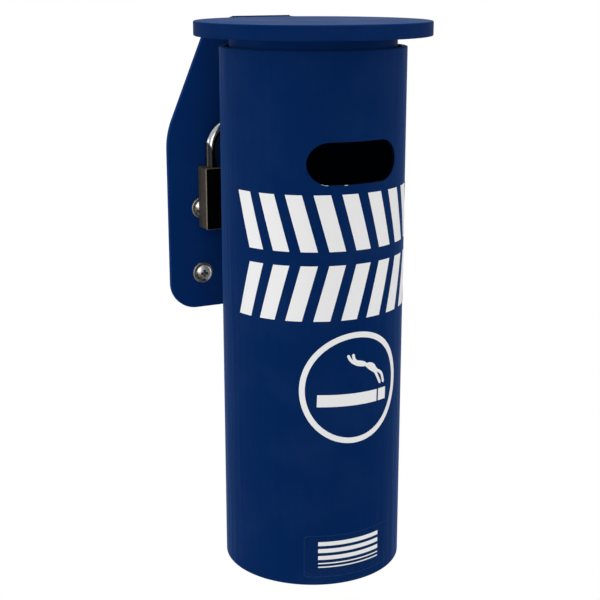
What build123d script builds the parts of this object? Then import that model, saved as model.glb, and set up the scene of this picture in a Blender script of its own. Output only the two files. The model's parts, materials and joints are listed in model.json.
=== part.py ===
"""Wall-mounted ashtray bin: a steel canister that hangs under a round lid on a shield-shaped back plate.

Millimetres. The origin is on the wall face of the back plate, in the middle of its four screws.
+Z is up, -Y is the front that faces the street, and +X is to the right of a person facing the bin.
"""

from build123d import *
from math import cos, radians, sin
import os

os.makedirs("parts", exist_ok=True)

# --- driving dimensions -------------------------------------------------------------------
sheet = 3.2  # thickness of all the steel plate and of the tube wall
eps = 0.05  # running clearance between pieces that touch

# bracket: plate, lid and collar
lid_top = 129.5
lid_thickness = 7.8
lid_radius = 64.4
lid_edge_round = 0.8
tongue_width = 39.0  # the lid's rear tongue, which meets the plate
plate_top_drop = 1.0  # the plate ends this far below the lid's top
plate_top_half = 32.1
plate_half = 59.4
plate_shoulder_drop = 65.7
plate_bottom_drop = 170.5
shoulder_radius = 45.0
plate_corner_radius = 15.9
collar_radius = 45.5
collar_bottom_drop = 38.0
collar_chamfer = 0.8
collar_weld_leg = 3.0
lid_bead_radius = 1.7
lid_weld_leg = 4.0

# canister
tube_radius = 50.8
tube_y = -70.8  # axis of the tube
tube_top_drop = 13.3
tube_bottom_drop = 306.9
slot_drop = 70.2
slot_width = 52.4
slot_height = 21.9
floor_recess = 3.0  # the floor sits this far up inside the tube's lower end
floor_weld_leg = 2.2
drain_radius = 2.5
drain_circle_radius = 30.0
cut_margin = 5.0  # how far a cut runs past the surface it opens

# padlock
lock_x = -22.7
lock_y = -13.6
shackle_radius = 3.25
leg_offset = 14.0  # from the padlock's middle to each leg's axis
arch_drop = 73.5  # centre of the shackle's arch
case_top_drop = 84.3
case_width = 40.0
case_height = 36.0
case_depth = 12.4
heel_depth = 28.0
toe_depth = 10.0
leg_end_gap = 1.0  # below each leg in its bore
leg_chamfer = 0.6
ball_depth = 7.0
ball_radius = 2.95
plug_radius = 4.5
plug_length = 22.0
actuator_radius = 4.4
actuator_length = 10.6
actuator_flat = 1.4  # depth of the flats that let the balls draw back
plug_cap = 2.0  # solid end of the plug, above its keyway
keyway_width = 1.6
keyway_height = 6.4
notch_depth = 1.0
notch_radius = 3.0
case_side_round = 0.8
case_end_round = 0.8

# lugs that the shackle goes through
lug_top_drop = 45.0
lug_bottom_drop = 68.0
lug_nose_gap = 1.4
lug_gap = 0.6
lug_weld_leg = 3.0
lug_weld_inset = 2.0
tab_hole_radius = 6.35
tab_rear = -5.2
tab_corner_radius = 6.0
tab_root_y = tube_y + 38.0  # inside the tube, where its round outside is cut away
keeper_slot_radius = 4.5
keeper_corner_radius = 4.0

# screws
screw_spacing_x = 79.0
screw_spacing_z = 39.4
screw_radius = 2.4  # of the thread, which begins at the wall face
screw_neck_radius = 2.0  # plain and rolled thinner than the thread
screw_hole_radius = 2.75
screw_length = 32.0  # behind the wall face
screw_point = 1.6
head_radius = 5.2
head_height = 2.7
head_rim = 0.5
washer_radius = 6.1
washer_thickness = 1.2
washer_round = 0.4
recess_width = 1.3
recess_span = 5.0
recess_depth = 1.5

# vinyl marks on the canister
vinyl = 0.15
skin_reach = 14.0  # flat outlines start this deep inside the tube, and are carried out to its surface
stripe_pitch_deg = 17.0
stripe_count = 9
stripe_width = 9.0
stripe_slant = 4.2
stripe_height = 30.0
upper_row_drop = 101.2
lower_row_drop = 138.7
ring_drop = 192.3
ring_outer = 31.7
ring_inner = 27.9
cigarette_rise = -6.4  # middle of the cigarette, above the middle of the ring
cigarette_thickness = 7.0
cigarette_tilt = -1.7
stub = (-21.7, 14.6)  # from end to end, as arc lengths from the front
ember = (15.8, 21.8)
smoke_width = 1.5
smoke_bend = 1.7
smoke_left = ((17.6, -0.8), (13.4, 6.2), (8.2, 9.4), (5.2, 14.8), (0.4, 14.6), (-1.7, 19.6))
smoke_right = ((20.1, -0.8), (18.6, 4.8), (12.9, 7.8), (9.8, 12.8), (4.2, 11.4), (-1.8, 13.6), (-5.0, 19.4))
label_drop = 289.5
label_width = 54.0
label_height = 25.0

# --- values worked out from them ----------------------------------------------------------
lid_under = lid_top - lid_thickness
plate_front = -sheet
tube_top = lid_top - tube_top_drop
tube_bottom = lid_top - tube_bottom_drop
tube_inner = tube_radius - sheet
arch_z = lid_top - arch_drop
crown_z = arch_z + leg_offset  # middle of the shackle's round bar at the top of its arch
case_top = lid_top - case_top_drop
case_bottom = case_top - case_height
heel_x = lock_x - leg_offset
toe_x = lock_x + leg_offset
ball_z = case_top - ball_depth
tab_x = lock_x - lug_gap / 2 - sheet
keeper_x = lock_x + lug_gap / 2
lug_weld_length = lug_bottom_drop - lug_top_drop - 2 * lug_weld_inset
bow_inner = leg_offset - shackle_radius
hole_z = arch_z + (bow_inner**2 - (lock_x - tab_x) ** 2) ** 0.5 + tab_hole_radius - eps


def arc_to_chord(arc):
    """Straight distance from the front that reaches this arc length on the tube."""
    return tube_radius * sin(arc / tube_radius)


# --- bracket ------------------------------------------------------------------------------
with BuildPart() as back_plate:
    with BuildSketch(Plane.XZ) as shield:
        with BuildLine():
            Polyline(
                (-plate_top_half, lid_top - plate_top_drop),
                (plate_top_half, lid_top - plate_top_drop),
                (plate_half, lid_top - plate_shoulder_drop),
                (plate_half, lid_top - plate_bottom_drop),
                (-plate_half, lid_top - plate_bottom_drop),
                (-plate_half, lid_top - plate_shoulder_drop),
                close=True,
            )
        make_face()
        fillet(shield.vertices().group_by(Axis.Y)[1], shoulder_radius)
        fillet(shield.vertices().group_by(Axis.Y)[0], plate_corner_radius)
        with GridLocations(screw_spacing_x, screw_spacing_z, 2, 2):
            Circle(screw_hole_radius, mode=Mode.SUBTRACT)
    extrude(amount=sheet)
back_plate.part.label = "back_plate"

with BuildPart() as lid:
    with BuildSketch(Plane.XY.offset(lid_under)):
        with Locations((0, tube_y)):
            Circle(lid_radius)
        with Locations((0, (tube_y + plate_front) / 2)):
            Rectangle(tongue_width, plate_front - tube_y)
    extrude(amount=lid_thickness)
    rims = lid.edges().filter_by(GeomType.CIRCLE)
    fillet(rims, lid_edge_round)
lid.part.label = "lid"

with BuildPart() as lid_welds:
    # a bead along the top of the joint, and a fillet weld in the corner underneath
    with BuildSketch(Plane.YZ.offset(-tongue_width / 2)):
        with Locations((plate_front, lid_top - plate_top_drop)):
            Circle(lid_bead_radius)
    extrude(amount=tongue_width)
    with BuildSketch(Plane.YZ.offset(-tongue_width / 2)):
        with BuildLine():
            Polyline(
                (plate_front, lid_under),
                (plate_front - lid_weld_leg, lid_under),
                (plate_front, lid_under - lid_weld_leg),
                close=True,
            )
        make_face()
    extrude(amount=tongue_width)
    add(back_plate.part, mode=Mode.SUBTRACT)
    add(lid.part, mode=Mode.SUBTRACT)
lid_welds.part.label = "lid_welds"

with BuildPart() as locating_collar:
    with BuildSketch(Plane.XY.offset(lid_top - collar_bottom_drop)):
        with Locations((0, tube_y)):
            Circle(collar_radius)
            Circle(collar_radius - sheet, mode=Mode.SUBTRACT)
    extrude(amount=collar_bottom_drop - lid_thickness)
    chamfer(locating_collar.edges().group_by(Axis.Z)[0], collar_chamfer)
locating_collar.part.label = "locating_collar"

with BuildPart() as collar_weld:
    bore = collar_radius - sheet
    with BuildSketch(Plane.XZ.offset(-tube_y)):
        with BuildLine():
            Polyline(
                (bore, lid_under),
                (bore - collar_weld_leg, lid_under),
                (bore, lid_under - collar_weld_leg),
                close=True,
            )
        make_face()
    revolve(axis=Axis((0, tube_y, 0), (0, 0, 1)))
collar_weld.part.label = "collar_weld"

with BuildPart() as keeper_lug:
    # the shackle's slot is open at the bottom, so that the hanging padlock can leave it downwards
    nose_y = tube_y + (tube_radius**2 - (keeper_x + sheet) ** 2) ** 0.5 + lug_nose_gap
    slot_z = crown_z + keeper_slot_radius
    with BuildSketch(Plane.YZ.offset(keeper_x)) as keeper_side:
        with BuildLine():
            Polyline(
                (plate_front, lid_top - lug_top_drop),
                (nose_y, lid_top - lug_top_drop),
                (nose_y, lid_top - lug_bottom_drop),
                (plate_front, lid_top - lug_bottom_drop),
                close=True,
            )
        make_face()
        fillet(keeper_side.vertices().group_by(Axis.X)[0], keeper_corner_radius)
        with Locations((lock_y, slot_z)):
            Circle(keeper_slot_radius, mode=Mode.SUBTRACT)
        with Locations((lock_y, (slot_z + lid_top - lug_bottom_drop) / 2)):
            Rectangle(2 * keeper_slot_radius, slot_z - lid_top + lug_bottom_drop, mode=Mode.SUBTRACT)
    extrude(amount=sheet)
keeper_lug.part.label = "keeper_lug"

with BuildPart() as keeper_weld:
    weld_x = keeper_x + sheet
    with BuildSketch(Plane.XY.offset(lid_top - lug_bottom_drop + lug_weld_inset)):
        with BuildLine():
            Polyline(
                (weld_x, plate_front),
                (weld_x + lug_weld_leg, plate_front),
                (weld_x, plate_front - lug_weld_leg),
                close=True,
            )
        make_face()
    extrude(amount=lug_weld_length)
keeper_weld.part.label = "keeper_weld"

# --- fasteners ----------------------------------------------------------------------------
washer_front = sheet + washer_thickness
with BuildPart() as mounting_washers:
    with BuildSketch(Plane.XZ.offset(sheet)):
        with GridLocations(screw_spacing_x, screw_spacing_z, 2, 2):
            Circle(washer_radius)
            Circle(screw_hole_radius, mode=Mode.SUBTRACT)
    extrude(amount=washer_thickness)
    rounds = mounting_washers.edges().filter_by(GeomType.CIRCLE)
    fillet(rounds.filter_by(lambda edge: edge.radius > head_radius).group_by(Axis.Y)[0], washer_round)
mounting_washers.part.label = "mounting_washers"

with BuildPart() as mounting_screws:
    with BuildSketch(Plane.XZ.offset(washer_front)):
        with GridLocations(screw_spacing_x, screw_spacing_z, 2, 2):
            Circle(head_radius)
    extrude(amount=head_height)
    fillet(mounting_screws.edges().group_by(Axis.Y)[0], head_height - head_rim)
    with BuildSketch(Plane.XZ.offset(washer_front)):
        with GridLocations(screw_spacing_x, screw_spacing_z, 2, 2):
            Circle(screw_neck_radius)
    extrude(amount=-washer_front)
    with BuildSketch(Plane.XZ):
        with GridLocations(screw_spacing_x, screw_spacing_z, 2, 2):
            Circle(screw_radius)
    extrude(amount=-screw_length)
    chamfer(mounting_screws.edges().group_by(Axis.Y)[-1], screw_point)
    with BuildSketch(Plane.XZ.offset(washer_front + head_height)):
        with GridLocations(screw_spacing_x, screw_spacing_z, 2, 2):
            Rectangle(recess_width, recess_span)
            Rectangle(recess_span, recess_width)
    extrude(amount=-recess_depth, mode=Mode.SUBTRACT)
mounting_screws.part.label = "mounting_screws"

# --- canister -----------------------------------------------------------------------------
with BuildPart() as canister_tube:
    with BuildSketch(Plane.XY.offset(tube_bottom)):
        with Locations((0, tube_y)):
            Circle(tube_radius)
            Circle(tube_inner, mode=Mode.SUBTRACT)
    extrude(amount=tube_top - tube_bottom)
    with BuildSketch(Plane.XZ.offset(-tube_y)):
        with Locations((0, lid_top - slot_drop)):
            SlotOverall(slot_width, slot_height)
    extrude(amount=tube_radius + cut_margin, mode=Mode.SUBTRACT)
canister_tube.part.label = "canister_tube"

floor_z = tube_bottom + floor_recess
with BuildPart() as canister_floor:
    with BuildSketch(Plane.XY.offset(floor_z)):
        with Locations((0, tube_y)):
            Circle(tube_inner)
            with PolarLocations(drain_circle_radius, 4, start_angle=45):
                Circle(drain_radius, mode=Mode.SUBTRACT)
    extrude(amount=sheet)
canister_floor.part.label = "canister_floor"

with BuildPart() as floor_weld:
    with BuildSketch(Plane.XZ.offset(-tube_y)):
        with BuildLine():
            Polyline(
                (tube_inner, floor_z),
                (tube_inner - floor_weld_leg, floor_z),
                (tube_inner, floor_z - floor_weld_leg),
                close=True,
            )
        make_face()
    revolve(axis=Axis((0, tube_y, 0), (0, 0, 1)))
floor_weld.part.label = "floor_weld"

with BuildPart() as hasp_tab:
    with BuildSketch(Plane.YZ.offset(tab_x)) as tab_side:
        with BuildLine():
            Polyline(
                (tab_rear, lid_top - lug_top_drop),
                (tab_root_y, lid_top - lug_top_drop),
                (tab_root_y, lid_top - lug_bottom_drop),
                (tab_rear, lid_top - lug_bottom_drop),
                close=True,
            )
        make_face()
        fillet(tab_side.vertices().group_by(Axis.X)[-1], tab_corner_radius)
        with Locations((lock_y, hole_z)):
            Circle(tab_hole_radius, mode=Mode.SUBTRACT)
    extrude(amount=sheet)
    with Locations((0, tube_y, lid_top - slot_drop)):
        Cylinder(tube_radius, 2 * slot_drop, mode=Mode.SUBTRACT)
hasp_tab.part.label = "hasp_tab"

with BuildPart() as tab_weld:
    weld_y = tube_y + (tube_radius**2 - tab_x**2) ** 0.5
    with BuildSketch(Plane.XY.offset(lid_top - lug_bottom_drop + lug_weld_inset)):
        with BuildLine():
            Polyline(
                (tab_x, weld_y + lug_weld_leg),
                (tab_x - lug_weld_leg, weld_y - lug_weld_leg),
                (tab_x, weld_y - lug_weld_leg),
                close=True,
            )
        make_face()
    extrude(amount=lug_weld_length)
    with Locations((0, tube_y, lid_top - slot_drop)):
        Cylinder(tube_radius, 2 * slot_drop, mode=Mode.SUBTRACT)
tab_weld.part.label = "tab_weld"

# --- vinyl marks --------------------------------------------------------------------------
with BuildPart() as vinyl_skin:
    with BuildSketch(Plane.XY.offset(tube_bottom)):
        with Locations((0, tube_y)):
            Circle(tube_radius + vinyl)
            Circle(tube_radius, mode=Mode.SUBTRACT)
    extrude(amount=tube_top - tube_bottom)


def facing_plane(angle_deg, z):
    """Upright plane inside the tube that faces outwards at this angle from the front."""
    a = radians(angle_deg)
    reach = tube_radius - skin_reach
    return Plane(
        origin=(reach * sin(a), tube_y - reach * cos(a), z),
        x_dir=(cos(a), sin(a), 0),
        z_dir=(sin(a), -cos(a), 0),
    )


with BuildPart() as warning_stripes:
    # two rows of slanted bars, which lean opposite ways and make a row of arrowheads
    for drop, lean in ((upper_row_drop, -stripe_slant), (lower_row_drop, stripe_slant)):
        first = -stripe_pitch_deg * (stripe_count - 1) / 2
        spots = [facing_plane(first + stripe_pitch_deg * i, lid_top - drop) for i in range(stripe_count)]
        with BuildSketch(*spots):
            half_w, half_h = stripe_width / 2, stripe_height / 2
            with BuildLine():
                Polyline(
                    (-half_w - lean, -half_h),
                    (half_w - lean, -half_h),
                    (half_w + lean, half_h),
                    (-half_w + lean, half_h),
                    close=True,
                )
            make_face()
        extrude(amount=skin_reach + cut_margin)
    add(vinyl_skin.part, mode=Mode.INTERSECT)
warning_stripes.part.label = "warning_stripes"

with BuildPart() as smoking_pictogram:
    with BuildSketch(facing_plane(0, lid_top - ring_drop)):
        Ellipse(arc_to_chord(ring_outer), ring_outer)
        Ellipse(arc_to_chord(ring_inner), ring_inner, mode=Mode.SUBTRACT)
        with Locations(Location((0, cigarette_rise), cigarette_tilt)):
            for start, end in (stub, ember):
                left, right = arc_to_chord(start), arc_to_chord(end)
                with Locations(((left + right) / 2, 0)):
                    Rectangle(right - left, cigarette_thickness)
        for strand in (smoke_left, smoke_right):
            with BuildLine():
                FilletPolyline(*[(arc_to_chord(arc), rise) for arc, rise in strand], radius=smoke_bend)
            trace(line_width=smoke_width)
    extrude(amount=skin_reach + cut_margin)
    add(vinyl_skin.part, mode=Mode.INTERSECT)
smoking_pictogram.part.label = "smoking_pictogram"

with BuildPart() as clear_label:
    with BuildSketch(facing_plane(0, lid_top - label_drop)):
        Rectangle(2 * arc_to_chord(label_width / 2), label_height)
    extrude(amount=skin_reach + cut_margin)
    add(vinyl_skin.part, mode=Mode.INTERSECT)
clear_label.part.label = "clear_label"

# --- padlock ------------------------------------------------------------------------------
with BuildPart() as padlock_shackle:
    with BuildLine(Plane.XZ.offset(-lock_y)) as bow:
        Line((heel_x, case_top - heel_depth), (heel_x, arch_z))
        ThreePointArc((heel_x, arch_z), (lock_x, crown_z), (toe_x, arch_z))
        Line((toe_x, arch_z), (toe_x, case_top - toe_depth))
    with BuildSketch(Plane(origin=bow.wires()[0] @ 0, z_dir=bow.wires()[0] % 0)):
        Circle(shackle_radius)
    sweep()
    chamfer(padlock_shackle.faces().filter_by(Axis.Z).edges(), leg_chamfer)
    # notches for the locking balls in the inner side of each leg
    notch_offset = bow_inner + notch_depth - notch_radius
    with Locations((lock_x - notch_offset, lock_y, ball_z), (lock_x + notch_offset, lock_y, ball_z)):
        Sphere(notch_radius, mode=Mode.SUBTRACT)
padlock_shackle.part.label = "padlock_shackle"

with BuildPart() as padlock_case:
    leg_bore = shackle_radius + 2 * eps
    with BuildSketch(Plane.XY.offset(case_bottom)):
        with Locations((lock_x, lock_y)):
            RectangleRounded(case_width, case_depth, case_side_round)
    extrude(amount=case_height)
    fillet(padlock_case.edges().group_by(Axis.Z)[0], case_end_round)
    fillet(padlock_case.edges().group_by(Axis.Z)[-1], case_end_round)
    with Locations((heel_x, lock_y, case_top)):
        Hole(leg_bore, depth=heel_depth + leg_end_gap)
    with Locations((toe_x, lock_y, case_top)):
        Hole(leg_bore, depth=toe_depth + leg_end_gap)
    chamber_top = case_bottom + plug_length + actuator_length + 2 * eps
    with Locations((lock_x, lock_y, chamber_top)):
        Hole(plug_radius + eps, depth=chamber_top - case_bottom)
    with Locations((lock_x, lock_y, ball_z)):
        Cylinder(ball_radius + eps, 2 * leg_offset, rotation=(0, 90, 0), mode=Mode.SUBTRACT)
padlock_case.part.label = "padlock_case"

with BuildPart() as lock_plug:
    with BuildSketch(Plane.XY.offset(case_bottom)):
        with Locations((lock_x, lock_y)):
            Circle(plug_radius)
            Rectangle(keyway_width, keyway_height, mode=Mode.SUBTRACT)
    extrude(amount=plug_length - plug_cap)
    with BuildSketch(Plane.XY.offset(case_bottom + plug_length - plug_cap)):
        with Locations((lock_x, lock_y)):
            Circle(plug_radius)
    extrude(amount=plug_cap)
lock_plug.part.label = "lock_plug"

with BuildPart() as lock_actuator:
    with BuildSketch(Plane.XY.offset(case_bottom + plug_length)):
        with Locations((lock_x, lock_y)):
            Circle(actuator_radius)
    extrude(amount=actuator_length)
    # flats at the front and back face the balls once the plug has turned by 90 degrees
    for side in (-1, 1):
        with Locations((lock_x, lock_y + side * actuator_radius, ball_z)):
            Box(2 * actuator_radius, 2 * actuator_flat, 2 * ball_radius, mode=Mode.SUBTRACT)
lock_actuator.part.label = "lock_actuator"

with BuildPart() as locking_balls:
    ball_offset = actuator_radius + eps + ball_radius
    with Locations((lock_x - ball_offset, lock_y, ball_z), (lock_x + ball_offset, lock_y, ball_z)):
        Sphere(ball_radius)
locking_balls.part.label = "locking_balls"

for piece in (
    back_plate, lid, lid_welds, locating_collar, collar_weld, keeper_lug, keeper_weld,
    mounting_washers, mounting_screws, canister_tube, canister_floor, floor_weld,
    hasp_tab, tab_weld, warning_stripes, smoking_pictogram, clear_label,
    padlock_shackle, padlock_case, lock_plug, lock_actuator, locking_balls,
):
    export_step(piece.part, f"parts/{piece.part.label}.step")
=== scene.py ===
import json
import math

import bmesh
import bpy
import numpy as np
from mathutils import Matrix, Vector
from mathutils.geometry import tessellate_polygon


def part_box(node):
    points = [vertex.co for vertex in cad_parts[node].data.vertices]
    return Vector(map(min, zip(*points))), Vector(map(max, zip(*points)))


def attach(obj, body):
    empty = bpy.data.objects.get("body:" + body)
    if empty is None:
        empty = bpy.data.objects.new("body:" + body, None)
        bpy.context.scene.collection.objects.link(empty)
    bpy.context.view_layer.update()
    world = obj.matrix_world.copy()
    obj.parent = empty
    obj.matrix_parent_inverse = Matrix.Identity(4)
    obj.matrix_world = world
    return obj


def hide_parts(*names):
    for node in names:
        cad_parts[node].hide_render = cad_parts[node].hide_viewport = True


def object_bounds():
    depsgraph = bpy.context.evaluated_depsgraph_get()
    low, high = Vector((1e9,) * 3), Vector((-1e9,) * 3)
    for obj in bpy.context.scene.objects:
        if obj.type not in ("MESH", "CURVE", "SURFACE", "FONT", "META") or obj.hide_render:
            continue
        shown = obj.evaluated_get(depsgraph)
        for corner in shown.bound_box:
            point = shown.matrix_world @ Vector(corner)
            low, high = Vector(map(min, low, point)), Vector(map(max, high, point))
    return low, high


# Wall-mounted ashtray bin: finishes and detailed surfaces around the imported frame, all in metres.

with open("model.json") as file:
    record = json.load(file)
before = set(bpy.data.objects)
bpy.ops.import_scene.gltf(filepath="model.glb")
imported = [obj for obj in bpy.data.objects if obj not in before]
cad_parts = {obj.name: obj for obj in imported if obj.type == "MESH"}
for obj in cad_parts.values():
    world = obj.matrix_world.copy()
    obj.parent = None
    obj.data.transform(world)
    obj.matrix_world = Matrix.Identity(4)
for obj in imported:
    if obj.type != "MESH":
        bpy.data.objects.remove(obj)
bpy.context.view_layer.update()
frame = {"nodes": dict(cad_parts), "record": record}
nodes = frame["nodes"]
scene = bpy.context.scene
mm = 0.001


def addNode(tree, kind, values=None, **settings):
    # a value is a constant, or another node's output, or the node itself for its first output
    node = tree.nodes.new(kind)
    for key, value in settings.items():
        setattr(node, key, value)
    for key, value in (values or {}).items():
        if isinstance(value, bpy.types.Node):
            value = value.outputs[0]
        if isinstance(value, bpy.types.NodeSocket):
            tree.links.new(value, node.inputs[key])
        else:
            node.inputs[key].default_value = value
    return node


def combine(tree, operation, *values, **settings):
    # one step of arithmetic on up to three values
    return addNode(tree, "ShaderNodeMath", dict(enumerate(values)), operation=operation, **settings)


def remap(tree, value, source=(0.0, 1.0), target=(0.0, 1.0)):
    # carries the value from the source range to the target range, and stops at its ends
    return addNode(tree, "ShaderNodeMapRange", {
        "Value": value,
        "From Min": source[0], "From Max": source[1],
        "To Min": target[0], "To Max": target[1],
    })


def blend(tree, factor, first, second):
    # from the first colour to the second; on a Mix node, inputs 6 and 7 and output 2 are the ones for colours
    mix = addNode(tree, "ShaderNodeMix", {"Factor": factor, 6: first, 7: second}, data_type="RGBA")
    return mix.outputs[2]


def noisePattern(tree, place, scale, detail, roughness=0.5):
    return addNode(tree, "ShaderNodeTexNoise", {
        "Vector": place, "Scale": scale, "Detail": detail, "Roughness": roughness,
    })


def objectPlace(tree):
    return addNode(tree, "ShaderNodeTexCoord").outputs["Object"]


def seenDirectly(tree):
    # one for rays from the camera and for those that a surface reflects or lets through, otherwise nothing
    path = addNode(tree, "ShaderNodeLightPath").outputs
    bounced = combine(tree, "MAXIMUM", path["Is Glossy Ray"], path["Is Transmission Ray"])
    return combine(tree, "MAXIMUM", path["Is Camera Ray"], bounced)


def rgb(r, g, b):
    # 0-255 screen values to linear colour
    def lin(c):
        c /= 255
        return c / 12.92 if c <= 0.04045 else ((c + 0.055) / 1.055) ** 2.4
    return (lin(r), lin(g), lin(b), 1.0)


cameraSpec = {
    "place": (-0.3130, -0.6773, 0.1545),
    "tiltDown": 14.79,
    "turnRight": 26.7,
    "lens": 74.55,
    "sensor": 36.0,
    "nearest": 0.01,
}
cam = bpy.data.objects.new("camera", bpy.data.cameras.new("camera"))
scene.collection.objects.link(cam)
cam.location = cameraSpec["place"]
cam.rotation_euler.x = math.radians(90 - cameraSpec["tiltDown"])
cam.rotation_euler.z = -math.radians(cameraSpec["turnRight"])
cam.data.lens = cameraSpec["lens"]
cam.data.sensor_width = cameraSpec["sensor"]
cam.data.clip_start = cameraSpec["nearest"]
scene.camera = cam

studio = {
    "floorDrop": 0.45,
    "floorHalf": 3.0,
    "floorTone": (0.8, 0.8, 0.8, 1),
    "shadowReach": 0.9,
    "whiteFill": 0.52,
    "aimAt": (0, -0.07, 0),
    "lamps": [
        # name, place, size, power
        ("keyLamp", (-0.7, -1.4, 0.25), 0.9, 8.0),
        ("fillLamp", (1.3, -0.5, 0.2), 0.8, 4.5),
        ("topLamp", (0.0, -0.2, 1.4), 0.8, 12.0),
        ("sideLamp", (-1.3, 0.4, 0.1), 0.7, 6.5),
    ],
}


def makeLamp(name, place, size, power, target):
    data = bpy.data.lights.new(name, "AREA")
    data.shape = "SQUARE"
    data.size = size
    data.energy = power
    lamp = bpy.data.objects.new(name, data)
    scene.collection.objects.link(lamp)
    lamp.location = place
    lamp.rotation_euler = (Vector(target) - Vector(place)).to_track_quat("-Z", "Y").to_euler()


def whiteWorld(fill):
    # white where it is seen, and dimmer for the light that it throws on the bin
    world = bpy.data.worlds.new("studioWorld")
    world.use_nodes = True
    tree = world.node_tree
    tree.nodes.clear()
    level = addNode(tree, "ShaderNodeMix", {
        "Factor": seenDirectly(tree), "A": fill, "B": 1.0,
    }, data_type="FLOAT")
    back = addNode(tree, "ShaderNodeBackground", {"Color": (1, 1, 1, 1), "Strength": level})
    addNode(tree, "ShaderNodeOutputWorld", {"Surface": back})
    return world


for name, place, size, power in studio["lamps"]:
    makeLamp(name, place, size, power, studio["aimAt"])
scene.world = whiteWorld(studio["whiteFill"])
scene.view_settings.view_transform = "Standard"
print("stage: camera and studio")


def newGroup(name, inputs, outputs):
    # an empty node group with these named sockets, and the sockets that its inputs come from
    group = bpy.data.node_groups.new(name, "ShaderNodeTree")
    for label, kind, default in inputs:
        socket = group.interface.new_socket(name=label, in_out="INPUT", socket_type="NodeSocket" + kind)
        socket.default_value = default
    for label, kind in outputs:
        group.interface.new_socket(name=label, in_out="OUTPUT", socket_type="NodeSocket" + kind)
    return group, addNode(group, "NodeGroupInput").outputs


noiseSpan = (0.3, 0.7)  # most values of a noise pattern lie between these

coatSpec = {
    "peelDetail": 2.0,
    # the scale, detail and, for some, roughness of each noise
    "waveNoise": (240.0, 2.0),
    "cloudNoise": (28.0, 4.0, 0.6),
    "topLightNoise": (55.0, 3.0, 0.55),
    "waveStretch": (1.0, 1.0, 0.05),
    "cloudSpan": (0.45, 0.75),
    "cloudGloss": (-0.04, 0.08),
    "speckScale": 160.0,
    "speckEdge": (0.06, 0.13),  # full inside the first distance, gone outside the second
    "speckRarity": (0.93, 0.95),
    "bumpStrength": 0.25,
    "bumpDistance": 0.08 * mm,
    "sheenRoughness": 0.4,
    "sheenTint": rgb(90, 160, 255),
    "topLightAmount": (0.55, 1.0),
}


def coatGroup(spec):
    # powder coat: fine orange peel over long upright waves, faint cloudy tone, dust specks
    group, given = newGroup("coatDetail", (
        ("Tone", "Color", (0.01, 0.03, 0.1, 1)),
        ("Bloom", "Color", (0.1, 0.15, 0.25, 1)),
        ("Peel Scale", "Float", 900.0),
        ("Waviness", "Float", 0.0),
        ("Speck Amount", "Float", 0.35),
        ("Cloud Amount", "Float", 0.06),
        ("Roughness", "Float", 0.42),
    ), (("Color", "Color"), ("Roughness", "Float"), ("Height", "Float")))
    place = objectPlace(group)
    peel = noisePattern(group, place, given["Peel Scale"], spec["peelDetail"])
    cloud = noisePattern(group, place, *spec["cloudNoise"])
    upright = addNode(group, "ShaderNodeMapping", {"Vector": place, "Scale": spec["waveStretch"]})
    wave = noisePattern(group, upright, *spec["waveNoise"])
    speck = addNode(group, "ShaderNodeTexVoronoi", {"Vector": place, "Scale": spec["speckScale"]})
    dots = remap(group, speck.outputs["Distance"], spec["speckEdge"], (1.0, 0.0))
    rare = remap(group, speck.outputs["Color"], spec["speckRarity"])
    dust = combine(group, "MULTIPLY", combine(group, "MULTIPLY", dots, rare), given["Speck Amount"])
    haze = remap(group, cloud, spec["cloudSpan"], (0.0, given["Cloud Amount"]))
    lighter = combine(group, "ADD", haze, dust, use_clamp=True)
    uneven = remap(group, cloud, noiseSpan, spec["cloudGloss"])
    addNode(group, "NodeGroupOutput", {
        "Color": blend(group, lighter, given["Tone"], given["Bloom"]),
        "Roughness": combine(group, "ADD", uneven, given["Roughness"]),
        "Height": combine(group, "MULTIPLY_ADD", wave, given["Waviness"], peel),
    })
    return group


grainSpec = {"scale": 400.0, "detail": 3.0, "polish": (0.8, 1.3)}


def grainGroup(spec):
    # metal grain: fine noise, drawn out along the brushing, goes between two tones and roughens the dark one
    group, given = newGroup("metalGrain", (
        ("Tone", "Color", (0.5, 0.5, 0.5, 1)),
        ("Dark", "Color", (0.2, 0.2, 0.2, 1)),
        ("Roughness", "Float", 0.3),
        ("Stretch", "Vector", (1.0, 1.0, 1.0)),
    ), (("Color", "Color"), ("Roughness", "Float")))
    drawn = addNode(group, "ShaderNodeMapping", {"Vector": objectPlace(group), "Scale": given["Stretch"]})
    noise = noisePattern(group, drawn, spec["scale"], spec["detail"])
    polish = remap(group, noise, target=spec["polish"])
    addNode(group, "NodeGroupOutput", {
        "Color": blend(group, noise, given["Tone"], given["Dark"]),
        "Roughness": combine(group, "MULTIPLY", polish, given["Roughness"]),
    })
    return group


coatDetail = coatGroup(coatSpec)
metalGrain = grainGroup(grainSpec)


def newMaterial(name):
    mat = bpy.data.materials.new(name)
    mat.use_nodes = True
    mat.node_tree.nodes.clear()
    return mat, mat.node_tree


def principled(tree, values):
    shader = addNode(tree, "ShaderNodeBsdfPrincipled", values)
    addNode(tree, "ShaderNodeOutputMaterial", {"Surface": shader})


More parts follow.
